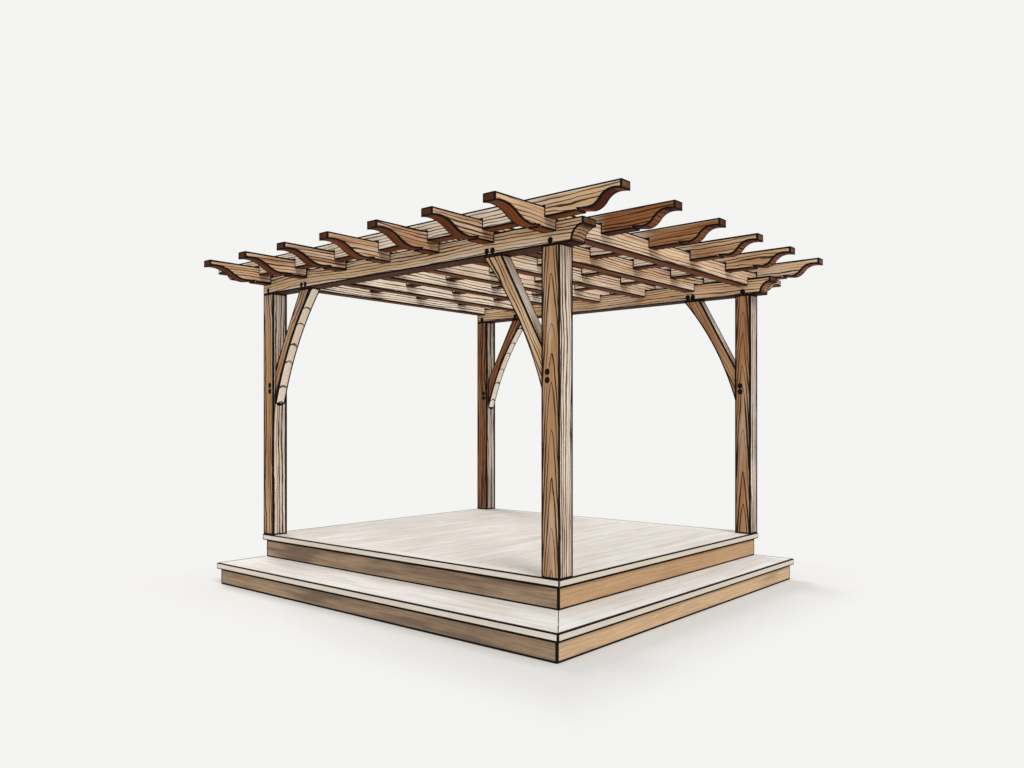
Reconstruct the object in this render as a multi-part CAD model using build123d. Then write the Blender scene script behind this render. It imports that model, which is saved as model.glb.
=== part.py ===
from build123d import *
import os

# A timber-framed garden pergola on a boarded platform with one step along its front and right.
# Four posts carry a front and a back beam, rafters lie across the beams and purlins across
# the rafters. X runs along the beams, Y from front to back, Z up. Lengths are in millimetres.
# The origin is on the ground, below the middle of the roof.

# Posts and beams
POST = 150
PLAN_X = 3400
PLAN_Y = 3020
HEADROOM = 2190
BEAM_DEPTH = 150
BEAM_OVERHANG = 188
BEAM_LIP = 50
COVE_RADIUS = 90

# Rafters, which are notched over the beams
RAFTER_COUNT = 7
RAFTER_WIDTH = 100
RAFTER_DEPTH = 140
RAFTER_LAP = 70
RAFTER_OVERHANG = 600
RAFTER_TAIL = 435

# Purlins, which are notched over the rafters
PURLIN_COUNT = 6
PURLIN_WIDTH = 100
PURLIN_DEPTH = 140
PURLIN_LAP = 70
PURLIN_OVERHANG = 560
PURLIN_TAIL = 328
PURLIN_STANDOFF = 26

# Shaped tail of every rafter and purlin
TAIL_THROAT = 49
TAIL_LIP = 9
TAIL_REACH = 68
TAIL_RUN = 75
TAIL_QUIRK = 11

# Curved braces
BRACE_WIDTH = 100
BRACE_RUN = 375
BRACE_DROP = 680
BRACE_FOOT_X = 170
BRACE_FOOT_Z = 325
BRACE_HOLLOW = 62

# Tenons and pegs
TENON_THICKNESS = 40
HEAD_TENON_WIDTH = 90
BEAM_TENON_DEPTH = 60
POST_TENON_DEPTH = 90
PEG_DIAMETER = 25
PEG_PROUD = 3
PEG_PITCH = 54
POST_PEG_INSET = 50
POST_PEG_RISE = 145
JOINT_GAP = 0.3

# Platform and step
DECK_RISE = 205
STEP_RISE = 185
BOARD = 50
FLOOR_MARGIN = 5
NOSING = 25
RISER_THICKNESS = 40
STEP_GOING_FRONT = 480
STEP_GOING_RIGHT = 362

# Hidden framing below the floor and the treads
JOIST_COUNT = 7
JOIST_WIDTH = 50
JOIST_DEPTH = 145
BEARER_WIDTH = 50
FRONT_BEARER_COUNT = 6
RIGHT_BEARER_COUNT = 5

# Levels above the ground
TREAD_TOP = STEP_RISE
FLOOR_TOP = STEP_RISE + DECK_RISE
BEAM_BOTTOM = FLOOR_TOP + HEADROOM
BEAM_TOP = BEAM_BOTTOM + BEAM_DEPTH
RAFTER_BOTTOM = BEAM_TOP - RAFTER_LAP
RAFTER_TOP = RAFTER_BOTTOM + RAFTER_DEPTH
PURLIN_BOTTOM = RAFTER_TOP - PURLIN_LAP

# Plan lines: outer faces and middles of the posts
POST_FACE_X = PLAN_X / 2
POST_FACE_Y = PLAN_Y / 2
POST_MID_X = POST_FACE_X - POST / 2
POST_MID_Y = POST_FACE_Y - POST / 2
POST_INNER_X = POST_FACE_X - POST

# Plan lines of the platform and the step
FLOOR_EDGE_X = POST_FACE_X + FLOOR_MARGIN
FLOOR_EDGE_Y = POST_FACE_Y + FLOOR_MARGIN
RISER_FACE_X = FLOOR_EDGE_X - NOSING
RISER_FACE_Y = FLOOR_EDGE_Y - NOSING
TREAD_EDGE_X = RISER_FACE_X + STEP_GOING_RIGHT
TREAD_EDGE_Y = RISER_FACE_Y + STEP_GOING_FRONT
STEP_FACE_X = TREAD_EDGE_X - NOSING
STEP_FACE_Y = TREAD_EDGE_Y - NOSING


def box(x0, x1, y0, y1, z0, z1):
    """A rectangular block between two corners."""
    size = (x1 - x0, y1 - y0, z1 - z0)
    middle = ((x0 + x1) / 2, (y0 + y1) / 2, (z0 + z1) / 2)
    return Pos(*middle) * Box(*size)


def slab(outline, z0, z1):
    """A flat board of the given plan outline."""
    face = make_face(Polyline(*outline, close=True))
    return Pos(0, 0, z0) * extrude(face, z1 - z0)


def spread(count, first, last):
    """Evenly spaced places from first to last."""
    pitch = (last - first) / (count - 1)
    return [first + index * pitch for index in range(count)]


def between(count, low, high):
    """Evenly spaced places that leave equal bays at both ends."""
    pitch = (high - low) / (count + 1)
    return [low + (index + 1) * pitch for index in range(count)]


# Rafters and purlins

def tailed_timber(length, depth, width, tail):
    """A timber along X with an ogee and a quirk cut below both ends, its bottom on Z = 0."""
    tip_x = length / 2
    crest = Vector(tip_x - TAIL_REACH, depth - TAIL_THROAT)
    tip = Vector(tip_x, depth - TAIL_THROAT - TAIL_LIP)
    heel = Vector(tip_x - tail, TAIL_QUIRK)
    toe = Vector(heel.X + TAIL_RUN, 0)
    middle = (crest + toe) / 2
    hollow = TangentArc(crest, middle, tangent=(-1, 0))
    half = Curve() + [
        Line((0, depth), (tip_x, depth)),
        Line((tip_x, depth), tip),
        TangentArc(crest, tip, tangent=(1, 0)),
        hollow,
        TangentArc(middle, toe, tangent=hollow % 1),
        Line(toe, heel),
        Line(heel, (heel.X, 0)),
        Line((heel.X, 0), (0, 0)),
    ]
    outline = make_face(half + mirror(half, Plane.YZ))
    upright = Plane.XZ * outline
    return extrude(upright, width / 2, both=True)


def notched(timber, places, width, lap):
    """Cuts a notch up into the timber's underside over each crossing piece."""
    half = width / 2 + JOINT_GAP
    reach = timber.bounding_box().size.Y
    for place in places:
        timber -= box(place - half, place + half, -reach, reach, 0, lap)
    return timber


RAFTER_PLACES = spread(RAFTER_COUNT, -POST_MID_X, POST_MID_X)
PURLIN_LINE = POST_FACE_Y + PURLIN_STANDOFF + PURLIN_WIDTH / 2
PURLIN_PLACES = spread(PURLIN_COUNT, -PURLIN_LINE, PURLIN_LINE)


def make_rafter(place):
    length = PLAN_Y + 2 * RAFTER_OVERHANG
    timber = tailed_timber(length, RAFTER_DEPTH, RAFTER_WIDTH, RAFTER_TAIL)
    timber = notched(timber, (-POST_MID_Y, POST_MID_Y), POST, RAFTER_LAP)
    return Pos(place, 0, RAFTER_BOTTOM) * Rot(0, 0, 90) * timber


def make_purlin(place):
    length = PLAN_X + 2 * PURLIN_OVERHANG
    timber = tailed_timber(length, PURLIN_DEPTH, PURLIN_WIDTH, PURLIN_TAIL)
    timber = notched(timber, RAFTER_PLACES, RAFTER_WIDTH, PURLIN_LAP)
    return Pos(0, place, PURLIN_BOTTOM) * timber


# Braces, drawn for the right-hand post in the XZ plane from the corner under the beam

def brace_outline():
    """Straight along its upper edge, hollowed along its lower one."""
    top_in = (-BRACE_RUN, 0)
    top_out = (-BRACE_RUN - BRACE_FOOT_X, 0)
    foot_in = (0, -BRACE_DROP)
    foot_out = (0, -BRACE_DROP - BRACE_FOOT_Z)
    edges = Curve() + [
        Line(top_out, top_in),
        Line(top_in, foot_in),
        Line(foot_in, foot_out),
        SagittaArc(foot_out, top_out, -BRACE_HOLLOW),
    ]
    return make_face(edges)


def brace_tenons(grow):
    """The tongues in the beam and in the post, or with a gap around them their mortises."""
    half = TENON_THICKNESS / 2 + grow
    far = -BRACE_RUN - BRACE_FOOT_X
    low = -BRACE_DROP - BRACE_FOOT_Z
    upper = box(far - grow, -BRACE_RUN + grow, -half, half, 0, BEAM_TENON_DEPTH + grow)
    lower = box(0, POST_TENON_DEPTH + grow, -half, half, low - grow, -BRACE_DROP + grow)
    return upper + lower


def peg(x, z, radius, length):
    """A round peg along Y through a joint."""
    return Pos(x, 0, z) * Rot(90, 0, 0) * Cylinder(radius, length)


def corner_pegs(radius, length):
    """The pegs of one corner, placed from the corner between beam and post."""
    beam_peg_x = -BRACE_RUN - BRACE_FOOT_X / 2
    post_peg_z = -BRACE_DROP - BRACE_FOOT_Z + POST_PEG_RISE
    beam_peg_z = BEAM_TENON_DEPTH / 2
    places = [
        (POST / 2, beam_peg_z),
        (beam_peg_x - PEG_PITCH / 2, beam_peg_z),
        (beam_peg_x + PEG_PITCH / 2, beam_peg_z),
        (POST_PEG_INSET, post_peg_z - PEG_PITCH / 2),
        (POST_PEG_INSET, post_peg_z + PEG_PITCH / 2),
    ]
    return [peg(x, z, radius, length) for x, z in places]


def peg_holes():
    return corner_pegs(PEG_DIAMETER / 2 + JOINT_GAP, 2 * POST)


def make_brace():
    upright = Plane.XZ * brace_outline()
    body = extrude(upright, BRACE_WIDTH / 2, both=True)
    body += brace_tenons(0)
    for hole in peg_holes():
        body -= hole
    return body


# Posts and beams

def head_tenon(grow):
    """The tongue on top of a post, or with a gap around it its mortise."""
    half_x = HEAD_TENON_WIDTH / 2 + grow
    half_y = TENON_THICKNESS / 2 + grow
    middle = POST / 2
    return box(middle - half_x, middle + half_x, -half_y, half_y, 0, BEAM_TENON_DEPTH + grow)


def make_post():
    body = box(0, POST, -POST / 2, POST / 2, -HEADROOM, 0)
    body += head_tenon(0)
    body -= brace_tenons(JOINT_GAP)
    for hole in peg_holes():
        body -= hole
    return body


def make_beam():
    """A beam along X, square at its left end and coved below its right end."""
    left = -POST_FACE_X
    tip = POST_FACE_X + BEAM_OVERHANG
    lip_z = BEAM_DEPTH - BEAM_LIP
    body = box(left, tip, -POST / 2, POST / 2, 0, BEAM_DEPTH)
    cove = Pos(tip, 0, lip_z - COVE_RADIUS) * Rot(90, 0, 0) * Cylinder(COVE_RADIUS, 2 * POST)
    below = box(tip - COVE_RADIUS, tip + COVE_RADIUS, -POST, POST, -POST, lip_z - COVE_RADIUS)
    body -= cove
    body -= below
    for cut in [head_tenon(JOINT_GAP), brace_tenons(JOINT_GAP)] + peg_holes():
        body -= at_corner(cut, 1)
        body -= at_corner(cut, -1)
    return body


def at_corner(piece, side):
    """Moves a piece drawn from the right-hand corner to the right or, mirrored, the left."""
    placed = Pos(POST_INNER_X, 0, 0) * piece
    if side > 0:
        return placed
    return mirror(placed, Plane.YZ)


# Platform and step

def make_floor():
    return box(-FLOOR_EDGE_X, FLOOR_EDGE_X, -FLOOR_EDGE_Y, FLOOR_EDGE_Y, FLOOR_TOP - BOARD, FLOOR_TOP)


def make_platform_risers():
    """Four boards on edge around the platform, mitred at its corners."""
    outer_x, outer_y = RISER_FACE_X, RISER_FACE_Y
    inner_x, inner_y = outer_x - RISER_THICKNESS, outer_y - RISER_THICKNESS
    outlines = {
        "front": [(-outer_x, -outer_y), (outer_x, -outer_y), (inner_x, -inner_y), (-inner_x, -inner_y)],
        "right": [(outer_x, -outer_y), (outer_x, outer_y), (inner_x, inner_y), (inner_x, -inner_y)],
        "back": [(outer_x, outer_y), (-outer_x, outer_y), (-inner_x, inner_y), (inner_x, inner_y)],
        "left": [(-outer_x, outer_y), (-outer_x, -outer_y), (-inner_x, -inner_y), (-inner_x, inner_y)],
    }
    top = FLOOR_TOP - BOARD
    return {f"platform_riser_{side}": slab(outline, 0, top) for side, outline in outlines.items()}


def make_treads():
    """Two treads that meet in a mitre at the front right corner."""
    front = [
        (-FLOOR_EDGE_X, -TREAD_EDGE_Y),
        (TREAD_EDGE_X, -TREAD_EDGE_Y),
        (RISER_FACE_X, -RISER_FACE_Y),
        (-FLOOR_EDGE_X, -RISER_FACE_Y),
    ]
    right = [
        (TREAD_EDGE_X, -TREAD_EDGE_Y),
        (TREAD_EDGE_X, FLOOR_EDGE_Y),
        (RISER_FACE_X, FLOOR_EDGE_Y),
        (RISER_FACE_X, -RISER_FACE_Y),
    ]
    low = TREAD_TOP - BOARD
    return {"tread_front": slab(front, low, TREAD_TOP), "tread_right": slab(right, low, TREAD_TOP)}


def make_step_risers():
    """Boards on edge below the treads, with a short one closing each end of the step."""
    inner_x = STEP_FACE_X - RISER_THICKNESS
    inner_y = STEP_FACE_Y - RISER_THICKNESS
    left = -RISER_FACE_X
    back = RISER_FACE_Y
    outlines = {
        "step_riser_front": [
            (left, -STEP_FACE_Y),
            (STEP_FACE_X, -STEP_FACE_Y),
            (inner_x, -inner_y),
            (left + RISER_THICKNESS, -inner_y),
        ],
        "step_riser_right": [
            (STEP_FACE_X, -STEP_FACE_Y),
            (STEP_FACE_X, back),
            (inner_x, back - RISER_THICKNESS),
            (inner_x, -inner_y),
        ],
        "step_end_left": [
            (left, -STEP_FACE_Y),
            (left + RISER_THICKNESS, -inner_y),
            (left + RISER_THICKNESS, -RISER_FACE_Y),
            (left, -RISER_FACE_Y),
        ],
        "step_end_back": [
            (STEP_FACE_X, back),
            (RISER_FACE_X, back),
            (RISER_FACE_X, back - RISER_THICKNESS),
            (inner_x, back - RISER_THICKNESS),
        ],
    }
    return {name: slab(outline, 0, TREAD_TOP - BOARD) for name, outline in outlines.items()}


def make_joists():
    """Joists between the side risers, under the floor boards."""
    reach_x = RISER_FACE_X - RISER_THICKNESS
    reach_y = RISER_FACE_Y - RISER_THICKNESS
    top = FLOOR_TOP - BOARD
    half = JOIST_WIDTH / 2
    places = between(JOIST_COUNT, -reach_y, reach_y)
    return [box(-reach_x, reach_x, y - half, y + half, top - JOIST_DEPTH, top) for y in places]


def make_post_blocks():
    """Blocks that take each post's load from the floor to the ground."""
    reach_x = RISER_FACE_X - RISER_THICKNESS
    reach_y = RISER_FACE_Y - RISER_THICKNESS
    corner = box(reach_x - POST, reach_x, reach_y - POST, reach_y, 0, FLOOR_TOP - BOARD)
    front = mirror(corner, Plane.XZ)
    right = [front, corner]
    return right + [mirror(block, Plane.YZ) for block in right]


def make_step_bearers():
    """Short bearers from the platform to the step's risers, under the treads."""
    inner_x = STEP_FACE_X - RISER_THICKNESS
    inner_y = STEP_FACE_Y - RISER_THICKNESS
    top = TREAD_TOP - BOARD
    half = BEARER_WIDTH / 2
    front_places = spread(FRONT_BEARER_COUNT, -RISER_FACE_X + RISER_THICKNESS + half, RISER_FACE_X - half)
    right_places = spread(RIGHT_BEARER_COUNT, -RISER_FACE_Y + half, RISER_FACE_Y - RISER_THICKNESS - half)
    front = [box(x - half, x + half, -inner_y, -RISER_FACE_Y, 0, top) for x in front_places]
    right = [box(RISER_FACE_X, inner_x, y - half, y + half, 0, top) for y in right_places]
    return {"step_bearers_front": front, "step_bearers_right": right}


# Putting the object together

def make_frame():
    """Posts, beams, braces and pegs of the front and the back."""
    post = make_post()
    beam = make_beam()
    brace = make_brace()
    pegs = Compound(children=corner_pegs(PEG_DIAMETER / 2, POST + 2 * PEG_PROUD))
    nodes = {}
    for row, line in (("front", -POST_MID_Y), ("back", POST_MID_Y)):
        place = Pos(0, line, BEAM_BOTTOM)
        nodes[f"beam_{row}"] = place * beam
        for side, sign in (("left", -1), ("right", 1)):
            nodes[f"post_{row}_{side}"] = place * at_corner(post, sign)
            nodes[f"brace_{row}_{side}"] = place * at_corner(brace, sign)
            nodes[f"pegs_{row}_{side}"] = place * at_corner(pegs, sign)
    return nodes


def make_roof():
    rafters = {f"rafter_{i + 1}": make_rafter(x) for i, x in enumerate(RAFTER_PLACES)}
    purlins = {f"purlin_{i + 1}": make_purlin(y) for i, y in enumerate(PURLIN_PLACES)}
    return rafters | purlins


def make_deck():
    nodes = {"floor": make_floor()}
    nodes |= make_platform_risers()
    nodes |= make_treads()
    nodes |= make_step_risers()
    nodes["floor_joists"] = make_joists()
    nodes["post_blocks"] = make_post_blocks()
    nodes |= make_step_bearers()
    return nodes


def main():
    os.makedirs("parts", exist_ok=True)
    nodes = make_frame() | make_roof() | make_deck()
    for name, piece in nodes.items():
        if isinstance(piece, list):
            piece = Compound(children=piece)
        export_step(piece, f"parts/{name}.step")
    print(len(nodes), "nodes")


main()
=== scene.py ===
from collections import namedtuple
import math
import random

import bmesh
import bpy
from mathutils import Matrix, Vector
from mathutils.bvhtree import BVHTree


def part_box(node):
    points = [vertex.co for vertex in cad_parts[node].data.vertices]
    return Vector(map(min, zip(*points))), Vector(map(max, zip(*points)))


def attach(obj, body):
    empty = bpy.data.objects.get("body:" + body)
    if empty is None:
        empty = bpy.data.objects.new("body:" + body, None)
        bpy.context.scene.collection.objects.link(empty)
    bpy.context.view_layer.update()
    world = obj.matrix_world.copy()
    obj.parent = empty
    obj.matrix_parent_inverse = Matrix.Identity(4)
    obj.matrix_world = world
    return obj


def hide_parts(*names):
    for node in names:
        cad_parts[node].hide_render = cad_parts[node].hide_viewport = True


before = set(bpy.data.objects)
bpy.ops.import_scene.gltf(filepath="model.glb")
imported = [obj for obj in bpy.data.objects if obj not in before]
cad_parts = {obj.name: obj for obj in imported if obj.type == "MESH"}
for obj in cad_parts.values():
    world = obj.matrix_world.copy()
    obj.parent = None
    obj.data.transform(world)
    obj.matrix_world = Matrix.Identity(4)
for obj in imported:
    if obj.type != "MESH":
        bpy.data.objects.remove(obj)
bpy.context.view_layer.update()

# Camera: a level view of the front right corner, in the row's frame
CAMERA_PLACE = (4.979, -5.812, 1.424)
CAMERA_YAW = math.radians(40.57)
CAMERA_LENS = 29.22
CAMERA_SENSOR = 36.0
CAMERA_SHIFT_Y = 0.0361

# How far the corners of the pieces are planed off, in metres
TIMBER_ARRIS = 0.002
BOARD_ARRIS = 0.003
SMALL_ARRIS = 0.002

# Widths of the dark bands along the edges, in metres
TIMBER_RIM = 0.0085
ROOF_RIM = 0.0095
BACK_RIM = 0.0122
BOARD_RIM = 0.0078
RISER_RIM = 0.012
BORDER_RIM = 0.020
WIDEST_RIM_SHARE = 0.6

# The boards of the deck, in metres
BOARD_GAP = 0.003
MITRE_GAP = 0.004
BORDER_WIDTH = 0.140
FLOOR_BOARD_COUNT = 22
TREAD_BOARD_COUNT = 3
OUTSIDE_LIMIT = 0.004
INNER_EDGE_INK = 0.15

# What tells one edge, face or place from another: lengths in metres, angles, parts of a normal
OUTER_REACH = 0.40
LIFT_OFF = 0.0005
HOLE_SEGMENT = 0.012
SHARP_ANGLE = math.radians(28)
SAME_PLANE_ANGLE = math.radians(0.5)
SAME_PLACE = 1e-5
OFF_HALF = 0.2
TOWARD = 0.7
SQUARELY = 0.9
DIAGONALLY = 0.2
DOWN_FROM = 0.15
BRIGHT_SIDE_LOSS = 1.1
END_GRAIN_LIMIT = 0.995

# Directions that the grain of a timber follows, each with the direction across it
ALONG_X = (Vector((1, 0, 0)), Vector((0, 1, 0)))
ALONG_Y = (Vector((0, 1, 0)), Vector((-1, 0, 0)))
ALONG_Z = (Vector((0, 0, 1)), Vector((1, 0, 0)))
BRACE_RUN, BRACE_RISE = 0.483, 0.876

# A noise in the wood: how often it changes in each metre along and across the grain, how fine and
# rough it is, and between which of its values a patch of it fades in
Pattern = namedtuple("Pattern", "pace detail roughness low high", defaults=(0.5, 0.0, 1.0))
SWAY = Pattern((0.9, 3.0, 3.0), 1.0)
RIPPLE = Pattern((6.0, 15.0, 15.0), 2.0)
FIBRE = Pattern((9.0, 380.0, 380.0), 3.0, 0.6)
SWELL = Pattern((2.0, 12.0, 12.0), 2.0, 0.5, 0.34, 0.66)
BREAKS = Pattern((3.0, 20.0, 20.0), 1.0, 0.5, 0.3, 0.5)
STREAKS = Pattern((1.6, 70.0, 70.0), 2.0, 0.5, 0.35, 0.68)
CLOUD = Pattern((1.4, 8.0, 8.0), 3.0, 0.6, 0.32, 0.70)
STAIN = Pattern((1.1, 13.0, 13.0), 2.0, 0.5, 0.50, 0.72)
# Painted highlight: pale patches on the wood
SHINE = Pattern((1.2, 7.0, 7.0), 2.0, 0.5, 0.50, 0.68)
# Worn edges, also a painted highlight
WEAR = Pattern((1.7, 3.0, 3.0), 1.0, 0.5, 0.40, 0.56)

# How far the rings sway and ripple, in metres
SWAY_REACH = 0.11
RIPPLE_REACH = 0.022

# The eyes that the rings bulge around: how often there can be one, how many of them there are,
# their size, and the height of the bulge in pitches
EYE_PACE = (0.9, 5.5, 5.5)
EYE_SHARE = 0.5
EYE_RADIUS = 0.36
EYE_REACH = 1.05

# Where in its ring each dark line ends, how soft its edges are, how much of that softness the far
# edge has, and how the line's width and strength vary
LINE_END = 0.88
LINE_SOFTNESS = 0.10
FAR_SOFTNESS = 0.6
THINNEST, THICKEST = 0.6, 1.35
FAINT_LINE, BOLD_LINE = 0.5, 1.3
WEAK_LINE, FULL_LINE_CHANCE = 0.6, 0.45
BROKEN_LINE = 0.7

# How much the patterns deepen the tone, how much of the deeper tone a side with painted light shows,
# and how much of the worn edges' painted highlight is left where the wood is deep
STREAK_DEPTH = 0.22
STAIN_DEPTH = 0.35
PALE_CLOUD = 0.35
DEEP_WEAR = 0.25

# How the fine fibre shades the wood, how rough and how glossy the wood is, and its fine relief
SHADE_FROM, SHADE_FULL = 0.25, 0.75
FIBRE_DARK, FIBRE_BRIGHT = 0.16, 0.07
ROUGH_FROM, ROUGH_FULL = 0.2, 0.8
SMOOTHEST, ROUGHEST = 0.65, 0.85
SPECULAR = 0.12
LINE_HEIGHT, FIBRE_HEIGHT = -0.7, 0.5
BUMP_STRENGTH = 0.5
BUMP_DEPTH = 0.002

# Where a side's worn edges, also a painted highlight, and a roof timber's outdoor ends begin and are full
WORN_FROM, WORN_FULL = 0.73, 0.80
OUTDOORS_FROM, OUTDOORS_FULL = 0.68, 0.77


def rgb(red, green, blue):
    """A colour from its usual 0 to 255 values, made linear."""
    values = []
    for part in (red, green, blue):
        part = part / 255
        values.append(part / 12.92 if part <= 0.04045 else ((part + 0.055) / 1.055) ** 2.4)
    return (*values, 1.0)


INK = rgb(14, 10, 8)
LINE_ON_PALE = rgb(66, 46, 34)
# Painted shade: the colour that undersides are multiplied by
UNDERSIDE_TINT = rgb(158, 104, 58)

# The studio: colours, the strength of the sky, how far the ground reaches, and where around the
# object its shaded middle fades into the plain background, in metres
BACKGROUND = rgb(244, 244, 242)
GROUND = rgb(231, 230, 228)
SKY_LIGHT = (0.97, 0.985, 1.0, 1.0)
SKY_STRENGTH = 0.62
LAMP_LIGHT = (1.0, 0.98, 0.95)
GROUND_REACH = 60.0
PLAIN_FROM, PLAIN_FULL = 2.2, 2.9
PLAIN_LEAST = 0.1

# The lamps: their energy, how wide they are in degrees, and which way they shine
LAMPS = {"key": (1.5, 25, (-1.0, 0.35, -0.95)), "fill": (1.3, 22, (1.0, -0.3, -0.85))}

# How much the timbers are worn, their worn edges also a painted highlight, and how much painted
# light pales the side of a post that looks left
ROOF_WEAR = 0.9
POST_WEAR = 0.3
POST_LEFT_BLEACH = 0.6

# How a post looks: its tone, how pale painted light makes its right side, and how bold the lines and
# how wide the inked edges are on its sides and on its front and back
PostLook = namedtuple("PostLook", "tone pale bold inked")
POST_LOOKS = {
    "front_right": PostLook(tone=0.0, pale=0.95, bold=(1.0, 1.0), inked=(0.26, 0.19)),
    "front_left": PostLook(tone=-0.05, pale=1.0, bold=(1.15, 1.6), inked=(0.3, 0.21)),
    "back_right": PostLook(tone=0.2, pale=0.9, bold=(1.05, 1.2), inked=(0.32, 0.2)),
    "back_left": PostLook(tone=0.6, pale=0.95, bold=(1.1, 2.0), inked=(0.34, 0.21)),
}

# How a brace looks: its tone, and how bold and how close the lines are on its flat sides
BraceLook = namedtuple("BraceLook", "tone bold close")
BRACE_LOOKS = {
    "front_right": BraceLook(tone=-0.1, bold=1.1, close=0.9),
    "front_left": BraceLook(tone=0.4, bold=2.2, close=0.55),
    "back_right": BraceLook(tone=0.3, bold=1.7, close=0.65),
    "back_left": BraceLook(tone=0.65, bold=2.6, close=0.5),
}

# How lines cross the faces that are cut at a slant: the slope of the grain, the fall of the lines
# down the face, how calm and how bold they are, and which faces they are on
Slant = namedtuple("Slant", "slope fall calm bold meets")

# A flat-sawn side: the slope of the grain, how far behind the side the pith lies, and a widening
FLAT_SLOPE = 0.09
FLAT_DEPTH = 0.06
FLAT_SPREAD = 1.46
FLAT_CALM = 0.5

# Where the pith lies beside an end, and beside any other side
END_SPREAD = 1.6
END_PITH = (0.035, 0.055)
SIDE_PITH = 0.2
SLANT_SQUEEZE = 0.8

# How unevenly the rings lie, as a share of their usual distance, and how often that changes
UNEVEN_RINGS = 0.6
UNEVEN_PACE = 0.7

# How far the chance draws shift the grain, in metres, and lean it
START_RANGE = 40
ONWARD_RANGE = 9
ASIDE_RANGE = 0.02
LEAN_RANGE = 0.012

# The four long sides of a timber: whether one faces sideways in the log, and whether it faces the
# way that the grain's directions point. The first two are the front and the back of a post.
LONG_SIDES = ((False, False), (False, True), (True, False), (True, True))
POST_FRONT_AND_BACK = LONG_SIDES[:2]

# What the shader needs to know of each face
FACE_MARKS = (
    "slope", "spread", "calm", "bold", "tone", "tail", "bleach", "under", "end_grain", "arris",
    "worn", "far_ink",
)


def corners(node):
    low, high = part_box(node)
    return Vector(low), Vector(high)


# Shader nodes

def add_node(tree, kind, inputs=None, **settings):
    """Adds a node, sets its properties, and sets or links its inputs."""
    made = tree.nodes.new(kind)
    for key, value in settings.items():
        setattr(made, key, value)
    for key, value in (inputs or {}).items():
        socket = made.inputs[key]
        if isinstance(value, bpy.types.NodeSocket):
            tree.links.new(value, socket)
        else:
            socket.default_value = value
    return made


def calc(tree, operation, a, b=0.0, c=0.0, clamp=False):
    inputs = {0: a, 1: b, 2: c}
    return add_node(tree, "ShaderNodeMath", inputs, operation=operation, use_clamp=clamp).outputs[0]


def stretch(tree, place, factors):
    return add_node(tree, "ShaderNodeVectorMath", {0: place, 1: factors}, operation="MULTIPLY").outputs[0]


def random_value(tree, number):
    inputs = {"W": number}
    return add_node(tree, "ShaderNodeTexWhiteNoise", inputs, noise_dimensions="1D").outputs["Value"]


def noise_along(tree, number, pace):
    inputs = {"W": number, "Scale": pace, "Detail": 0.0}
    return add_node(tree, "ShaderNodeTexNoise", inputs, noise_dimensions="1D").outputs["Fac"]


def noise(tree, place, pattern):
    """Noise in the grain coordinates, with its own frequency along and across the grain."""
    inputs = {
        "Vector": stretch(tree, place, pattern.pace),
        "Scale": 1.0,
        "Detail": pattern.detail,
        "Roughness": pattern.roughness,
    }
    return add_node(tree, "ShaderNodeTexNoise", inputs).outputs["Fac"]


def step(tree, value, low, high, out_low=0.0, out_high=1.0):
    """Moves smoothly from one value to another as the input passes from low to high."""
    inputs = {"Value": value, "From Min": low, "From Max": high, "To Min": out_low, "To Max": out_high}
    made = add_node(tree, "ShaderNodeMapRange", inputs, interpolation_type="SMOOTHSTEP")
    return made.outputs["Result"]


def patches(tree, place, pattern, least=0.0, most=1.0):
    """Soft patches, made by letting a noise fade in between two of its values."""
    return step(tree, noise(tree, place, pattern), pattern.low, pattern.high, least, most)


def blend(tree, factor, a, b, mode="MIX"):
    inputs = {0: factor, 6: a, 7: b}
    return add_node(tree, "ShaderNodeMix", inputs, data_type="RGBA", blend_type=mode).outputs[2]


def blend_value(tree, factor, a, b):
    return add_node(tree, "ShaderNodeMix", {0: factor, 2: a, 3: b}, data_type="FLOAT").outputs[0]


def attribute(tree, name, output="Fac"):
    return add_node(tree, "ShaderNodeAttribute", attribute_name=name).outputs[output]


def new_material(name):
    material = bpy.data.materials.new(name)
    material.use_nodes = True
    material.node_tree.nodes.clear()
    return material, material.node_tree


# Wood

def ring_distance(tree, place, pitch, wave):
    """The distance from the pith, made to wander and to bulge round a few eyes, and its slope."""
    parts = add_node(tree, "ShaderNodeSeparateXYZ", {0: place}).outputs
    across = add_node(tree, "ShaderNodeCombineXYZ", {1: parts[1], 2: parts[2]}).outputs[0]
    radius = add_node(tree, "ShaderNodeVectorMath", {0: across}, operation="LENGTH").outputs["Value"]
    slope = attribute(tree, "slope")
    distance = calc(tree, "MULTIPLY_ADD", parts[0], slope, radius)
    aside = calc(tree, "MULTIPLY", attribute(tree, "spread"), calc(tree, "DIVIDE", parts[1], radius))
    steep = calc(tree, "ADD", calc(tree, "MULTIPLY", aside, aside), calc(tree, "MULTIPLY", slope, slope))
    restless = calc(tree, "SUBTRACT", 1.0, attribute(tree, "calm"))
    sway = noise(tree, place, SWAY)
    sway = calc(tree, "MULTIPLY", sway, calc(tree, "MULTIPLY", restless, SWAY_REACH * wave))
    ripple = noise(tree, place, RIPPLE)
    ripple = calc(tree, "MULTIPLY", ripple, calc(tree, "MULTIPLY", restless, RIPPLE_REACH * wave))
    distance = calc(tree, "ADD", distance, calc(tree, "ADD", sway, ripple))
    spots = {"Vector": stretch(tree, place, EYE_PACE), "Scale": 1.0}
    cells = add_node(tree, "ShaderNodeTexVoronoi", spots).outputs
    chosen = add_node(tree, "ShaderNodeSeparateColor", {0: cells["Color"]}).outputs[0]
    eye = step(tree, cells["Distance"], 0.0, EYE_RADIUS, EYE_REACH * pitch, 0.0)
    eye = calc(tree, "MULTIPLY", eye, calc(tree, "LESS_THAN", chosen, EYE_SHARE))
    distance = calc(tree, "ADD", distance, calc(tree, "MULTIPLY", eye, restless))
    return distance, calc(tree, "SQRT", steep)


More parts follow.
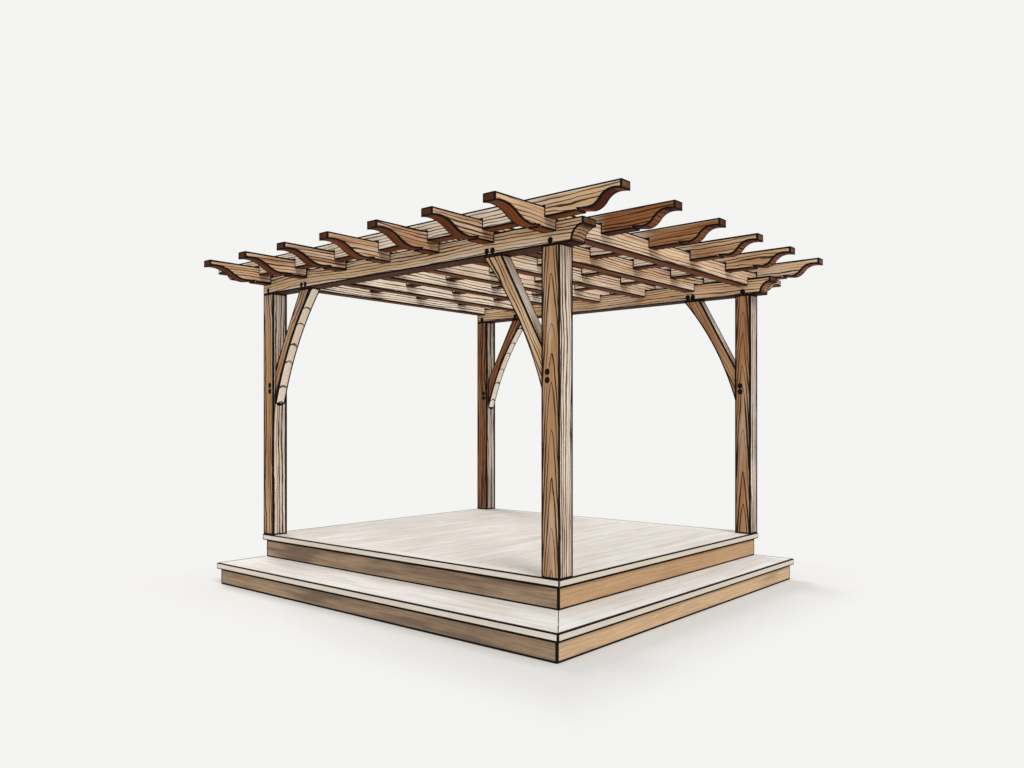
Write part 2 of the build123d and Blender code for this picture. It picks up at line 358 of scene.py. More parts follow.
def ring_lines(tree, place, distance, steep, pitch, width, bolder):
    """Dark late-wood lines, some bold and some faint, at uneven distances from each other."""
    count = calc(tree, "DIVIDE", distance, pitch)
    uneven = noise_along(tree, count, UNEVEN_PACE)
    count = calc(tree, "MULTIPLY_ADD", uneven, UNEVEN_RINGS, count)
    ring = calc(tree, "FRACT", count)
    chance = random_value(tree, calc(tree, "FLOOR", count))
    calm = attribute(tree, "calm")
    bold = blend_value(tree, calm, step(tree, chance, 0.0, 1.0, FAINT_LINE, BOLD_LINE), 1.0)
    bold = calc(tree, "MULTIPLY", bold, attribute(tree, "bold"))
    strong = blend_value(tree, calm, step(tree, chance, 0.0, FULL_LINE_CHANCE, WEAK_LINE), 1.0)
    swell = patches(tree, place, SWELL, THINNEST * width, THICKEST * width)
    swell = calc(tree, "MULTIPLY", swell, bold)
    soft = calc(tree, "MULTIPLY", steep, LINE_SOFTNESS)
    spread = calc(tree, "MULTIPLY", swell, calc(tree, "ADD", bolder, 1.0))
    low = calc(tree, "SUBTRACT", LINE_END, calc(tree, "MULTIPLY", spread, steep))
    rise = step(tree, ring, calc(tree, "SUBTRACT", low, soft), low)
    fall = step(tree, ring, LINE_END, calc(tree, "MULTIPLY_ADD", soft, FAR_SOFTNESS, LINE_END), 1.0, 0.0)
    breaks = patches(tree, place, BREAKS, BROKEN_LINE)
    return calc(tree, "MULTIPLY", calc(tree, "MULTIPLY", rise, fall), calc(tree, "MULTIPLY", breaks, strong))


def worn_share(tree, place, tone):
    """How pale the wood is from rubbing and as a painted highlight: in patches along the long edges, less
    where it is deep.
    """
    near_edge = step(tree, calc(tree, "ABSOLUTE", attribute(tree, "across")), WORN_FROM, WORN_FULL)
    wear = patches(tree, place, WEAR)
    worn = calc(tree, "MULTIPLY", calc(tree, "MULTIPLY", near_edge, wear), attribute(tree, "worn"))
    return calc(tree, "MULTIPLY", worn, step(tree, tone, 0.0, 1.0, 1.0, DEEP_WEAR))


def inked_share(tree):
    """One on the dark bands, and along the one edge of a side that its far_ink tells."""
    far_ink = attribute(tree, "far_ink")
    toward = calc(tree, "MULTIPLY", attribute(tree, "across"), calc(tree, "SIGN", far_ink))
    start = calc(tree, "SUBTRACT", 1.0, calc(tree, "ABSOLUTE", far_ink))
    inked = calc(tree, "GREATER_THAN", toward, start)
    return calc(tree, "MAXIMUM", attribute(tree, "arris"), inked)


def wood(name, light, deep, line, pale, pale_line, under, end, edge, pitch, width=0.22,
         strength=0.97, wave=1.0, cloudy=0.35, shiny=0.6, furry=1.0, bold_pale=0.0, inside=False):
    """Wood drawn by rings along each piece's own grain, with end grain and darkened edges.

    With inside set, the ends of a long timber lie outdoors: they get none of the painted light
    of its sides, and have the tone of their tails. The pale colour stands for painted light and
    painted highlights, and the colour for undersides for painted shade.
    """
    material, tree = new_material(name)
    place = attribute(tree, "grain_place", "Vector")
    bleach = attribute(tree, "bleach")
    distance, steep = ring_distance(tree, place, pitch, wave)
    bolder = calc(tree, "MULTIPLY", bleach, bold_pale)
    lines = ring_lines(tree, place, distance, steep, pitch, width, bolder)
    streaks = patches(tree, place, STREAKS, most=STREAK_DEPTH)
    fibre = noise(tree, place, FIBRE)
    cloud = patches(tree, place, CLOUD)
    stain = patches(tree, place, STAIN, most=STAIN_DEPTH)

    tone = calc(tree, "MULTIPLY_ADD", cloud, cloudy, attribute(tree, "tone"))
    if inside:
        share = calc(tree, "ABSOLUTE", attribute(tree, "along"))
        outdoors = step(tree, share, OUTDOORS_FROM, OUTDOORS_FULL)
        bleach = calc(tree, "MULTIPLY", bleach, calc(tree, "SUBTRACT", 1.0, outdoors))
        tone = calc(tree, "MULTIPLY_ADD", attribute(tree, "tail"), outdoors, tone)
    tone = calc(tree, "ADD", tone, calc(tree, "ADD", stain, streaks), clamp=True)
    # Painted highlight: pale patches, fewer where the tone is deep
    shine = patches(tree, place, SHINE, most=shiny)
    color = blend(tree, tone, light, deep)
    color = blend(tree, calc(tree, "MULTIPLY", shine, calc(tree, "SUBTRACT", 1.0, tone)), color, pale)
    shade = calc(tree, "ADD", calc(tree, "MULTIPLY", cloud, PALE_CLOUD), streaks)
    # Painted light and shade: the sides that a piece picks take its pale colour
    color = blend(tree, bleach, color, blend(tree, shade, pale, light))
    # Worn edges, which also serve as a painted highlight
    color = blend(tree, worn_share(tree, place, tone), color, pale)
    line_color = blend(tree, bleach, line, pale_line)
    color = blend(tree, calc(tree, "MULTIPLY", lines, strength), color, line_color)
    # Painted shade on the undersides
    color = blend(tree, attribute(tree, "under"), color, under, "MULTIPLY")
    color = blend(tree, attribute(tree, "end_grain"), color, end, "MULTIPLY")
    darkest, brightest = 1.0 - FIBRE_DARK * furry, 1.0 + FIBRE_BRIGHT * furry
    grey = step(tree, fibre, SHADE_FROM, SHADE_FULL, darkest, brightest)
    color = blend(tree, 1.0, color, grey, "MULTIPLY")
    color = blend(tree, inked_share(tree), color, edge)

    height = calc(tree, "MULTIPLY", fibre, FIBRE_HEIGHT)
    height = calc(tree, "MULTIPLY_ADD", lines, LINE_HEIGHT, height)
    inputs = {"Height": height, "Strength": BUMP_STRENGTH, "Distance": BUMP_DEPTH}
    bump = add_node(tree, "ShaderNodeBump", inputs)
    inputs = {
        "Base Color": color,
        "Roughness": step(tree, fibre, ROUGH_FROM, ROUGH_FULL, SMOOTHEST, ROUGHEST),
        "Normal": bump.outputs[0],
        "Specular IOR Level": SPECULAR,
    }
    shader = add_node(tree, "ShaderNodeBsdfPrincipled", inputs)
    output = add_node(tree, "ShaderNodeOutputMaterial")
    tree.links.new(shader.outputs[0], output.inputs[0])
    return material


ROOF_WOOD = wood(
    "roof_wood",
    light=rgb(234, 199, 158),
    deep=rgb(152, 97, 55),
    line=rgb(50, 29, 17),
    pale=rgb(242, 232, 218),
    pale_line=LINE_ON_PALE,
    under=UNDERSIDE_TINT,
    end=rgb(150, 128, 108),
    edge=INK,
    pitch=0.025,
    width=0.21,
    wave=0.85,
    inside=True,
)
POST_WOOD = wood(
    "post_wood",
    light=rgb(199, 157, 113),
    deep=rgb(150, 96, 58),
    line=rgb(44, 25, 15),
    pale=rgb(238, 228, 214),
    pale_line=LINE_ON_PALE,
    under=UNDERSIDE_TINT,
    end=rgb(176, 130, 96),
    edge=INK,
    pitch=0.026,
    width=0.32,
    wave=0.9,
    shiny=0.35,
    bold_pale=0.25,
)
BRACE_WOOD = wood(
    "brace_wood",
    light=rgb(230, 190, 146),
    deep=rgb(150, 96, 58),
    line=rgb(36, 20, 11),
    pale=rgb(250, 243, 232),
    pale_line=LINE_ON_PALE,
    under=rgb(238, 214, 188),
    end=rgb(176, 130, 96),
    edge=INK,
    pitch=0.023,
    shiny=0.3,
)
PEG_WOOD = wood(
    "peg_wood",
    light=rgb(52, 33, 22),
    deep=rgb(34, 22, 15),
    line=rgb(18, 12, 8),
    pale=rgb(52, 33, 22),
    pale_line=rgb(18, 12, 8),
    under=rgb(200, 190, 180),
    end=rgb(170, 160, 150),
    edge=rgb(20, 13, 10),
    pitch=0.006,
    strength=0.5,
    wave=0.1,
)
DECK_WOOD = wood(
    "deck_wood",
    light=rgb(246, 244, 241),
    deep=rgb(208, 196, 180),
    line=rgb(186, 170, 152),
    pale=rgb(230, 216, 198),
    pale_line=rgb(206, 186, 164),
    under=rgb(200, 190, 175),
    end=rgb(246, 238, 228),
    edge=INK,
    pitch=0.024,
    strength=0.12,
    shiny=0.0,
    furry=0.35,
)
RISER_WOOD = wood(
    "riser_wood",
    light=rgb(222, 188, 150),
    deep=rgb(134, 113, 96),
    line=rgb(104, 80, 60),
    pale=rgb(170, 129, 90),
    pale_line=rgb(120, 84, 54),
    under=rgb(180, 150, 120),
    end=rgb(210, 190, 170),
    edge=INK,
    pitch=0.030,
    strength=0.16,
    cloudy=0.38,
    shiny=0.0,
)
FRAMING_WOOD = wood(
    "framing_wood",
    light=rgb(200, 170, 130),
    deep=rgb(160, 126, 90),
    line=rgb(120, 88, 58),
    pale=rgb(200, 170, 130),
    pale_line=rgb(120, 88, 58),
    under=rgb(210, 200, 190),
    end=rgb(210, 190, 160),
    edge=rgb(120, 96, 70),
    pitch=0.024,
    strength=0.4,
)


# Easing the edges

def looks_out(shape):
    """Tags the faces that look straight out, and not at another face of the same timber."""
    tree = BVHTree.FromBMesh(shape)
    for face in shape.faces:
        start = face.calc_center_median() + face.normal * LIFT_OFF
        face.tag = tree.ray_cast(start, face.normal, OUTER_REACH)[0] is None


def ease_edges(shape, arris, keep_inner):
    """Planes off the corners. Notches, mortises and peg holes can be kept crisp."""
    for face in shape.faces:
        face.tag = True
    if keep_inner:
        looks_out(shape)
    sharp = []
    for edge in shape.edges:
        faces = edge.link_faces
        if len(faces) != 2 or edge.calc_face_angle(0) < SHARP_ANGLE:
            continue
        if all(face.tag for face in faces):
            sharp.append(edge)
    made = bmesh.ops.bevel(
        shape, geom=sharp, offset=arris, offset_type="OFFSET", segments=1, profile=0.5,
        affect="EDGES", clamp_overlap=False,
    )
    shape.normal_update()
    return made["faces"]


def smooth_regions(shape, left_out):
    """Lists the faces of each flat or curved side, without the planed corners."""
    seen = set(left_out)
    regions = []
    for first in shape.faces:
        if first in seen:
            continue
        seen.add(first)
        region = [first]
        for face in region:
            for edge in face.edges:
                if edge.calc_face_angle(0) > SHARP_ANGLE:
                    continue
                for near in edge.link_faces:
                    if near not in seen:
                        seen.add(near)
                        region.append(near)
        regions.append(region)
    return regions


def rim_edges(region):
    inside = set(region)
    edges = [edge for face in region for edge in face.edges]
    return [edge for edge in edges if not all(face in inside for face in edge.link_faces)]


def darken_rims(shape, eased, width, layer, wanted):
    """Lays a narrow dark band along the rim of each side, but not around peg holes."""
    looks_out(shape)
    hidden = {face for face in shape.faces if not face.tag}
    for region in smooth_regions(shape, eased):
        if wanted and not wanted(region[0]):
            continue
        rim = rim_edges(region)
        length = sum(edge.calc_length() for edge in rim)
        if not length:
            continue
        narrow = sum(face.calc_area() for face in region) / length
        kept = set(region)
        made = bmesh.ops.inset_region(
            shape, faces=region, thickness=min(width, WIDEST_RIM_SHARE * narrow), depth=0.0,
            use_boundary=True, use_even_offset=True,
        )
        bands = set(made["faces"])
        for band in bands:
            band[layer] = 1.0
            for edge in band.edges:
                beyond = [face for face in edge.link_faces if face not in bands and face not in kept]
                if beyond and beyond[0] in hidden and edge.calc_length() < HOLE_SEGMENT:
                    band[layer] = 0.0


def score(shape, spot, outward):
    """Adds edges where a plane crosses the faces. The form stays as it is."""
    geometry = [*shape.verts, *shape.edges, *shape.faces]
    bmesh.ops.bisect_plane(shape, geom=geometry, plane_co=spot, plane_no=outward)


def darken_line(shape, height, width, layer):
    """Lays a level dark band on the upright sides, just above a tread that meets them."""
    for level in (height, height + width):
        score(shape, (0, 0, level), (0, 0, 1))
    for face in shape.faces:
        if height < face.calc_center_median().z < height + width:
            face[layer] = 1.0


def darken_borders(shape, borders, layer):
    """Lays a dark band on top of a deck, along each outer edge, given as a place and a way out."""
    for spot, direction in borders:
        outward = Vector(direction)
        inside = spot - BORDER_RIM * outward
        score(shape, inside, outward)
        for face in shape.faces:
            beyond = (face.calc_center_median() - inside).dot(outward) > 0
            if face.normal.z > SQUARELY and beyond:
                face[layer] = 1.0


# Laying out the grain

def loose_parts(shape):
    """Lists the faces of each separate solid, in the mesh's own order."""
    for face in shape.faces:
        face.tag = False
    parts = []
    for first in shape.faces:
        if first.tag:
            continue
        first.tag = True
        part = [first]
        for face in part:
            for edge in face.edges:
                for near in edge.link_faces:
                    if not near.tag:
                        near.tag = True
                        part.append(near)
        parts.append(part)
    return parts


def box_of(part):
    points = [vert.co for face in part for vert in face.verts]
    low = Vector([min(point[axis] for point in points) for axis in range(3)])
    high = Vector([max(point[axis] for point in points) for axis in range(3)])
    return low, high


def whole_place(spot):
    """A place in whole millimetres, which the last digits of a coordinate don't change."""
    return [round(1000 * value + OFF_HALF) for value in spot]


def longest_way(part):
    low, high = box_of(part)
    size = high - low
    return (ALONG_X, ALONG_Y, ALONG_Z)[max(range(3), key=lambda axis: size[axis])]


def lay_grain(layers, part, way, draw, flat_sides, slant, narrow, bold):
    """Stores where each corner of a solid lies in the log that it was cut from.

    A face across the grain shows rings. A face cut at a slant crosses them, as often as the
    slant's slope and fall say. A flat-sawn side has the pith right behind it and shows arches,
    and any other side has it far off and shows nearly straight lines.
    """
    low, high = box_of(part)
    middle = (low + high) / 2
    along, side = way
    grain = Matrix((along, side, along.cross(side)))
    start = draw.uniform(0, START_RANGE)
    places = [grain @ (vert.co - middle) for face in part for vert in face.verts]
    reach, half_width, half_height = (max(abs(place[axis]) for place in places) for axis in range(3))
    shifts = {}
    for key in LONG_SIDES:
        aside = draw.uniform(-ASIDE_RANGE, ASIDE_RANGE)
        onward = draw.uniform(0, ONWARD_RANGE)
        shifts[key] = (aside, onward, draw.uniform(-LEAN_RANGE, LEAN_RANGE))
    for face in part:
        ahead, beside, above = grain @ face.normal
        sideways = abs(beside) > abs(above)
        key = (sideways, beside > 0 if sideways else above > 0)
        aside, onward, lean = shifts[key]
        flat = key in flat_sides
        end = abs(ahead) > END_GRAIN_LIMIT
        slanted = slant and slant.meets(face.normal) and not end
        closeness = narrow[0] if sideways else narrow[1]
        boldness = bold[0] if sideways else bold[1]
        calm = FLAT_CALM if flat else 0.0
        if end:
            slope, spread = 0.0, END_SPREAD
        elif slanted:
            slope = math.copysign(slant.slope, ahead) if slant.fall else slant.slope
            spread, calm, boldness = slant.fall, slant.calm, slant.bold
        elif flat:
            slope, spread = FLAT_SLOPE, FLAT_SPREAD
        else:
            slope, spread = lean, closeness
        face[layers["slope"]] = slope
        face[layers["spread"]] = spread
        face[layers["calm"]] = calm
        face[layers["bold"]] = boldness
        face[layers["end_grain"]] = 1.0 if end else 0.0
        face[layers["worn"]] = 0.0 if end or slanted else 1.0
        for loop in face.loops:
            x, u, v = grain @ (loop.vert.co - middle)
            across = v if sideways else u
            if end:
                spot = (x + start, u * spread + END_PITH[0], v * spread + END_PITH[1])
            elif slanted:
                spot = (x + start, v * spread + SIDE_PITH, u * SLANT_SQUEEZE)
            elif flat:
                spot = (x + start + onward, across * spread + aside, FLAT_DEPTH)
            else:
                spot = (x + start + onward, across * spread + SIDE_PITH + aside, 0.0)
            loop[layers["grain_place"]] = spot
            loop[layers["along"]] = x / reach
            loop[layers["across"]] = v / half_height if sideways else u / half_width


def looks_down(normal, span):
    """How far a face looks down, from 0 where it just does so to 1 where its normal dips more."""
    return min(max((-normal.z - DOWN_FROM) / span, 0.0), 1.0)


# Painted shade below that is full sooner and is not lessened on the bright side
def fully_down(normal):
    return looks_down(normal, 0.4)


def underside(normal):
    """How much painted shade a face gets below: as far as it looks down, less where it also looks to the
    bright side.
    """
    return looks_down(normal, 0.5) * max(1.0 - BRIGHT_SIDE_LOSS * max(normal.x, 0.0), 0.0)


def nothing(normal):
    return 0.0


def dress(name, shape, material, slot, node, arris, way=None, tone=0.0, tone_spread=0.0,
          bleach=nothing, side_tone=nothing, down=underside, tail=0.0, flat_sides=(), slant=None,
          narrow=(1.0, 1.0), bold=(1.0, 1.0), worn=0.0, ink=nothing, rim=0.0, dark_edges=None,
          dark_line=None, dark_borders=(), far_ink=nothing, keep_inner=False):
    """Turns a plain solid into a piece of eased, grained wood that stands for its CAD node.

    The grain runs along way. Tone, tone_spread and tail set how deep the colour is. As painted light
    some sides are made pale or tan, as painted shade some are deepened and undersides darkened, and
    long edges are paled in patches, from rubbing and as a painted highlight. The values flat_sides,
    slant, narrow and bold tell how the lines of the grain lie, and the rest where the piece has dark bands.
    """
    layers = {"grain_place": shape.loops.layers.float_vector.new("grain_place")}
    for share in ("along", "across"):
        layers[share] = shape.loops.layers.float.new(share)
    for mark in FACE_MARKS:
        layers[mark] = shape.faces.layers.float.new(mark)
    eased = ease_edges(shape, arris, keep_inner)
    for face in eased:
        face[layers["arris"]] = INNER_EDGE_INK if dark_edges and not dark_edges(face) else 1.0
    if rim:
        darken_rims(shape, eased, rim, layers["arris"], dark_edges)
    if dark_line is not None:
        darken_line(shape, dark_line, rim, layers["arris"])
    darken_borders(shape, dark_borders, layers["arris"])
    for part in loose_parts(shape):
        draw = random.Random(f"{name} {whole_place(box_of(part)[0])}")
        part_tone = tone + draw.uniform(-tone_spread, tone_spread)
        lay_grain(layers, part, way or longest_way(part), draw, flat_sides, slant, narrow, bold)
        for face in part:
            face[layers["tone"]] = part_tone + side_tone(face.normal)
            face[layers["tail"]] = tail
            face[layers["bleach"]] = bleach(face.normal)
            face[layers["under"]] = down(face.normal)
            face[layers["worn"]] *= worn * (1.0 - down(face.normal))
            face[layers["arris"]] = max(face[layers["arris"]], ink(face.normal))
            face[layers["far_ink"]] = far_ink(face.normal)
            face.smooth = True
    mesh = bpy.data.meshes.new(name)
    shape.to_mesh(mesh)
    shape.free()
    mesh.set_sharp_from_angle(angle=SHARP_ANGLE)
    mesh.materials.append(material)
    piece = bpy.data.objects.new(name, mesh)
    bpy.context.scene.collection.objects.link(piece)
    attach(piece, "root")
    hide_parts(node)
    return piece


def from_cad(node):
    """A copy of a CAD node's mesh, with its flat faces whole again."""
    shape = bmesh.new()
    shape.from_mesh(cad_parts[node].data)
    bmesh.ops.remove_doubles(shape, verts=shape.verts, dist=SAME_PLACE)
    bmesh.ops.dissolve_limit(
        shape, angle_limit=SAME_PLANE_ANGLE, verts=shape.verts, edges=shape.edges, delimit=set()
    )
    return shape


# Timbers

def dress_timber(node, material, slot, arris=TIMBER_ARRIS, rim=TIMBER_RIM, keep_inner=True, **looks):
    shape = from_cad(node)
    return dress(
        "wood_" + node, shape, material, slot, node, arris, rim=rim, keep_inner=keep_inner, **looks
    )


def on_outline(normal):
    """Whether a face is part of a timber's outline seen along Y, and not one of its flat sides."""
    return abs(normal.y) < 0.5


def cut_at_end(normal):
    """Whether a face belongs to the shaped end of a timber that lies along X."""
    return abs(normal.x) > 0.02 and on_outline(normal)


def hollow_side(normal):
    return normal.z < -0.1 and on_outline(normal)


def side_bleach(amount):
    """Gives the sides that look left and right their painted lighting."""
    return lambda normal: amount if abs(normal.x) > TOWARD else 0.0


def post_bleach(amount):
    """Paints light onto the side that looks right, and onto the one that looks left by another amount."""

    def bleach(normal):
        if normal.x > TOWARD:
            return amount
        return POST_LEFT_BLEACH if normal.x < -TOWARD else 0.0

    return bleach


def post_ink(side_width, front_width):
    """A dark line along one edge of each side: the right side's back one, the front's left one."""

    def width(normal):
        if abs(normal.x) > TOWARD:
            return math.copysign(side_width, normal.x)
        return math.copysign(front_width, normal.y) if abs(normal.y) > TOWARD else 0.0

    return width


# Painted light: a brace's upper and lower faces take the pale colour
def brace_bleach(normal):
    return 1.0 if on_outline(normal) else 0.0


# Painted light: the front and back of a purlin take the pale colour
def purlin_bleach(normal):
    return 0.85 if abs(normal.y) > SQUARELY else 0.0


# Painted shade: a beam's underside and the faces of its end that look right are deepened
def beam_tone(normal):
    shaded = normal.x > 0.05 or normal.z < -SQUARELY
    return 0.6 if shaded and on_outline(normal) else 0.0


# Painted shade: a beam's underside is darkened further
def beam_ink(normal):
    return 0.45 if normal.z < -SQUARELY else 0.0


# Painted shade: the ends of a rafter are deepened
def rafter_tone(normal):
    return 0.9 if abs(normal.y) > SQUARELY else 0.0


# Painted shade: a purlin's ends are deepened a little, the shaped faces of its right end more
def purlin_tone(normal):
    if abs(normal.x) > SQUARELY:
        return 0.3
    return 0.8 if cut_at_end(normal) and normal.x > 0 else 0.0


HOLLOW_LINES = Slant(slope=0.125, fall=0.0, calm=0.85, bold=3.8, meets=hollow_side)
BEAM_END_LINES = Slant(slope=0.8, fall=0.8, calm=0.3, bold=1.0, meets=cut_at_end)
PURLIN_END_LINES = Slant(slope=0.4, fall=0.9, calm=0.3, bold=1.0, meets=cut_at_end)


def frame_rim(corner):
    """The bands at the near corner are finer than those at the others, which are further off."""
    return TIMBER_RIM if corner == "front_right" else BACK_RIM


def dress_posts():
    for corner, look in POST_LOOKS.items():
        dress_timber(
            f"post_{corner}", POST_WOOD, "post_timber", way=ALONG_Z, tone=look.tone,
            bleach=post_bleach(look.pale), narrow=(1.0, 0.75), bold=look.bold, worn=POST_WEAR,
            flat_sides=POST_FRONT_AND_BACK if corner.endswith("right") else (),
            far_ink=post_ink(*look.inked), rim=frame_rim(corner),
        )


def dress_braces():
    for corner, look in BRACE_LOOKS.items():
        toward = -BRACE_RUN if corner.endswith("right") else BRACE_RUN
        way = (Vector((toward, 0, BRACE_RISE)).normalized(), Vector((0, 1, 0)))
        dress_timber(
            f"brace_{corner}", BRACE_WOOD, "brace_timber", way=way, tone=look.tone,
            bleach=brace_bleach, slant=HOLLOW_LINES, narrow=(look.close, 0.55),
            bold=(look.bold, 1.0), rim=frame_rim(corner),
        )


def dress_roof_timber(node, **looks):
    dress_timber(node, ROOF_WOOD, "roof_timber", worn=ROOF_WEAR, **looks)


def dress_beams():
    rows = (("front", -0.25, TIMBER_RIM), ("back", 0.05, BACK_RIM))
    for row, tone, rim in rows:
        dress_roof_timber(
            f"beam_{row}", way=ALONG_X, tone=tone, side_tone=beam_tone, slant=BEAM_END_LINES,
            ink=beam_ink, rim=rim,
        )


def dress_rafters():
    # How much painted light pales the sides of each rafter that look left and right
    pale = {1: 1.0, 2: 1.0, 3: 0.9, 4: 0.65, 5: 0.3, 6: 0.1, 7: 0.15}
    for number, amount in pale.items():
        dress_roof_timber(
            f"rafter_{number}", way=ALONG_Y, tone=0.05, bleach=side_bleach(amount),
            side_tone=rafter_tone, tail=0.1 if number == 7 else 0.25,
            rim=ROOF_RIM if number > 3 else BACK_RIM,
        )


def dress_purlins():
    # Purlins 2 and 3 are deepened as painted shade
    tones = {1: 0.0, 2: 1.0, 3: 0.7, 4: 0.1, 5: 0.1, 6: 0.0}
    for number, tone in tones.items():
        foremost = number == 1
        dress_roof_timber(
            f"purlin_{number}", way=ALONG_X, tone=tone, bleach=purlin_bleach, side_tone=purlin_tone,
            down=fully_down if foremost else underside,
            slant=None if foremost else PURLIN_END_LINES,
            rim=ROOF_RIM if number < 4 else BACK_RIM,
        )


def dress_pegs():
    for row in ("front", "back"):
        for side in ("left", "right"):
            node = f"pegs_{row}_{side}"
            dress_timber(node, PEG_WOOD, "pegs", SMALL_ARRIS, rim=0.0, keep_inner=False, way=ALONG_Y)


# Deck and steps

def add_prism(shape, outline, bottom, top):
    """Adds a board with this plan outline, listed anticlockwise seen from above."""
    lower = [shape.verts.new((x, y, bottom)) for x, y in outline]
    upper = [shape.verts.new((x, y, top)) for x, y in outline]
    shape.faces.new(upper)
    shape.faces.new(lower[::-1])
    for index in range(len(outline)):
        after = (index + 1) % len(outline)
        shape.faces.new((lower[index], lower[after], upper[after], upper[index]))


# Painted light and shade: the upright sides of a board take the pale colour, the right ones less
def board_bleach(normal):
    if abs(normal.z) > TOWARD:
        return 0.0
    return 0.3 if normal.x > TOWARD else 1.0


# Painted shade: the sides of a board that look right are deepened
def board_tone(normal):
    return 1.0 if normal.x > TOWARD else 0.0


def outer_edges(node, mitres=False):
    """Tells the faces at the outside of a deck, and its mitres, from those between boards."""
    low, high = corners(node)

    def test(face):
        if mitres and min(abs(face.normal.x), abs(face.normal.y)) > DIAGONALLY:
            return True
        spot = face.calc_center_median()
        inward = min(spot.x - low.x, high.x - spot.x, spot.y - low.y, high.y - spot.y)
        return inward < OUTSIDE_LIMIT

    return test


def make_floor():
    """A mitred border round the edge, filled with boards that run from front to back."""
    low, high = corners("floor")
    shape = bmesh.new()
    left, right = low.x + BORDER_WIDTH, high.x - BORDER_WIDTH
    front, back = low.y + BORDER_WIDTH, high.y - BORDER_WIDTH
    gap = BOARD_GAP
    borders = (
        [(low.x + gap, low.y), (high.x - gap, low.y), (right - gap, front), (left + gap, front)],
        [(high.x, low.y), (high.x, high.y), (right, back), (right, front)],
        [(high.x - gap, high.y), (low.x + gap, high.y), (left + gap, back), (right - gap, back)],
        [(low.x, high.y), (low.x, low.y), (left, front), (left, back)],
    )
    for outline in borders:
        add_prism(shape, outline, low.z, high.z)
    pitch = (right - left - gap) / FLOOR_BOARD_COUNT
    for number in range(FLOOR_BOARD_COUNT):
        start = left + gap + number * pitch
        end = start + pitch - gap
        near, far = front + gap, back - gap
        add_prism(shape, [(start, near), (end, near), (end, far), (start, far)], low.z, high.z)
    dress(
        "floor_boards", shape, DECK_WOOD, "deck_boards", "floor", BOARD_ARRIS, tone=0.1,
        tone_spread=0.08, bleach=board_bleach, side_tone=board_tone, rim=BOARD_RIM,
        dark_edges=outer_edges("floor"),
        dark_borders=((low, (-1, 0, 0)), (low, (0, -1, 0)), (high, (1, 0, 0)), (high, (0, 1, 0))),
    )


def make_treads():
    """Three boards on each side, mitred along the line from corner to corner."""
    front_low, front_high = corners("tread_front")
    right_low, right_high = corners("tread_right")
    inner = Vector((corners("platform_riser_right")[1].x, corners("platform_riser_front")[0].y))
    outer = Vector((front_high.x, front_low.y))
    half = BOARD_GAP / 2
    mitre = MITRE_GAP
    front = bmesh.new()
    right = bmesh.new()
    for number in range(TREAD_BOARD_COUNT):
        near = inner.lerp(outer, number / TREAD_BOARD_COUNT)
        far = inner.lerp(outer, (number + 1) / TREAD_BOARD_COUNT)
        after = half if number else 0.0
        before = half if number + 1 < TREAD_BOARD_COUNT else 0.0
        left, back = front_low.x, right_high.y
        outline = [
            (left, far.y + before),
            (far.x - mitre, far.y + before),
            (near.x - mitre, near.y - after),
            (left, near.y - after),
        ]
        add_prism(front, outline, front_low.z, front_high.z)
        outline = [
            (near.x + after, near.y + mitre),
            (far.x - before, far.y + mitre),
            (far.x - before, back),
            (near.x + after, back),
        ]
        add_prism(right, outline, right_low.z, right_high.z)
    front_borders = ((front_low, (0, -1, 0)), (front_low, (-1, 0, 0)))
    right_borders = ((right_high, (1, 0, 0)), (right_high, (0, 1, 0)))
    # The right boards are made paler, as painted light against the shadow that the platform casts on them
    sides = (("front", front, -0.05, front_borders), ("right", right, -0.2, right_borders))
    for side, shape, tone, borders in sides:
        dress(
            f"tread_boards_{side}", shape, DECK_WOOD, "deck_boards", f"tread_{side}", BOARD_ARRIS,
            tone=tone, tone_spread=0.06, bleach=board_bleach, side_tone=board_tone, rim=BOARD_RIM,
            dark_edges=outer_edges(f"tread_{side}", mitres=True), dark_borders=borders,
        )


# Painted shade: the front and back of a riser are deepened and its other faces made lighter
def riser_tone(normal):
    return 0.42 if abs(normal.y) > TOWARD else -0.2


def dress_risers():
    tread_top = corners("tread_front")[1].z
    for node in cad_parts:
        if "riser" in node or node.startswith("step_end"):
            # How much painted lighting the ends of a riser take
            amount = 0.8 if node.startswith("platform") else 0.15
            above_tread = node in ("platform_riser_front", "platform_riser_right")
            dress_timber(
                node, RISER_WOOD, "risers", BOARD_ARRIS, side_tone=riser_tone,
                bleach=side_bleach(amount), rim=RISER_RIM, keep_inner=False,
                dark_line=tread_top if above_tread else None,
            )


def dress_framing():
    for node in ("floor_joists", "post_blocks", "step_bearers_front", "step_bearers_right"):
        dress_timber(node, FRAMING_WOOD, "framing", SMALL_ARRIS, rim=0.0, keep_inner=False)


# Ground, light and camera

def seen_plain(tree):
    """One for what the camera sees, also by reflection or through glass."""
    path = add_node(tree, "ShaderNodeLightPath").outputs
    reflected = calc(tree, "MAXIMUM", path["Is Glossy Ray"], path["Is Transmission Ray"])
    return calc(tree, "MAXIMUM", path["Is Camera Ray"], reflected)


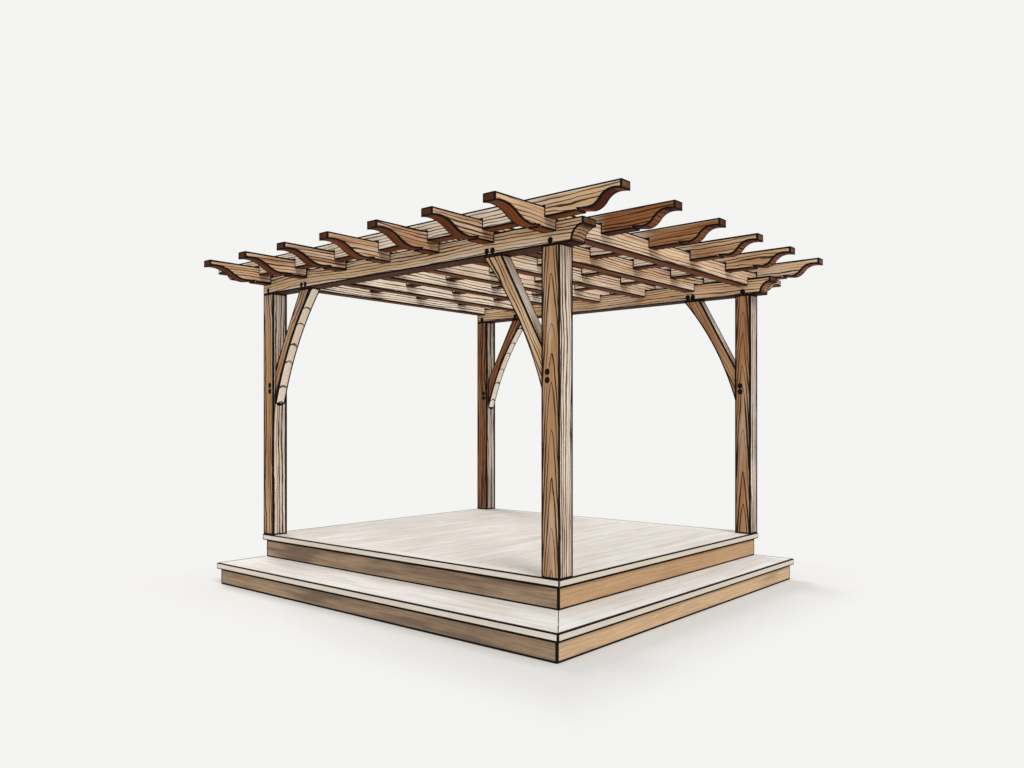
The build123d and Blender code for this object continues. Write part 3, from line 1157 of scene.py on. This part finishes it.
def make_ground():
    """A level floor that is shaded near the object and plain background further away."""
    reach = GROUND_REACH
    mesh = bpy.data.meshes.new("ground")
    points = [(-reach, -reach, 0), (reach, -reach, 0), (reach, reach, 0), (-reach, reach, 0)]
    mesh.from_pydata(points, [], [(0, 1, 2, 3)])
    ground = bpy.data.objects.new("ground", mesh)
    bpy.context.scene.collection.objects.link(ground)
    material, tree = new_material("ground")
    lit = add_node(tree, "ShaderNodeBsdfDiffuse", {"Color": GROUND}).outputs[0]
    plain = add_node(tree, "ShaderNodeEmission", {"Color": BACKGROUND, "Strength": 1.0}).outputs[0]
    place = add_node(tree, "ShaderNodeTexCoord").outputs["Object"]
    sides = add_node(tree, "ShaderNodeVectorMath", {0: place}, operation="ABSOLUTE").outputs[0]
    sides = add_node(tree, "ShaderNodeSeparateXYZ", {0: sides}).outputs
    away = calc(tree, "MAXIMUM", sides[0], sides[1])
    plainness = step(tree, away, PLAIN_FROM, PLAIN_FULL, PLAIN_LEAST)
    factor = calc(tree, "MULTIPLY", plainness, seen_plain(tree))
    mixed = add_node(tree, "ShaderNodeMixShader", {0: factor, 1: lit, 2: plain})
    output = add_node(tree, "ShaderNodeOutputMaterial")
    tree.links.new(mixed.outputs[0], output.inputs[0])
    mesh.materials.append(material)


def make_world():
    world = bpy.data.worlds.new("studio")
    bpy.context.scene.world = world
    world.use_nodes = True
    tree = world.node_tree
    tree.nodes.clear()
    light = add_node(tree, "ShaderNodeBackground", {"Color": SKY_LIGHT, "Strength": SKY_STRENGTH})
    plain = add_node(tree, "ShaderNodeBackground", {"Color": BACKGROUND, "Strength": 1.0})
    inputs = {0: seen_plain(tree), 1: light.outputs[0], 2: plain.outputs[0]}
    mixed = add_node(tree, "ShaderNodeMixShader", inputs)
    output = add_node(tree, "ShaderNodeOutputWorld")
    tree.links.new(mixed.outputs[0], output.inputs[0])


def make_lamps():
    for name, (energy, angle, toward) in LAMPS.items():
        light = bpy.data.lights.new(name, "SUN")
        light.energy = energy
        light.angle = math.radians(angle)
        light.color = LAMP_LIGHT
        lamp = bpy.data.objects.new(name, light)
        bpy.context.scene.collection.objects.link(lamp)
        lamp.rotation_euler = Vector(toward).to_track_quat("-Z", "Y").to_euler()


def make_camera():
    data = bpy.data.cameras.new("camera")
    data.sensor_width = CAMERA_SENSOR
    data.lens = CAMERA_LENS
    data.shift_y = CAMERA_SHIFT_Y
    camera = bpy.data.objects.new("camera", data)
    camera.location = CAMERA_PLACE
    camera.rotation_euler = (math.pi / 2, 0, CAMERA_YAW)
    bpy.context.scene.collection.objects.link(camera)
    bpy.context.scene.camera = camera


make_camera()
dress_posts()
dress_braces()
dress_beams()
dress_rafters()
dress_purlins()
dress_pegs()
make_floor()
make_treads()
dress_risers()
dress_framing()
make_ground()
make_world()
make_lamps()
bpy.context.scene.view_settings.view_transform = "Standard"
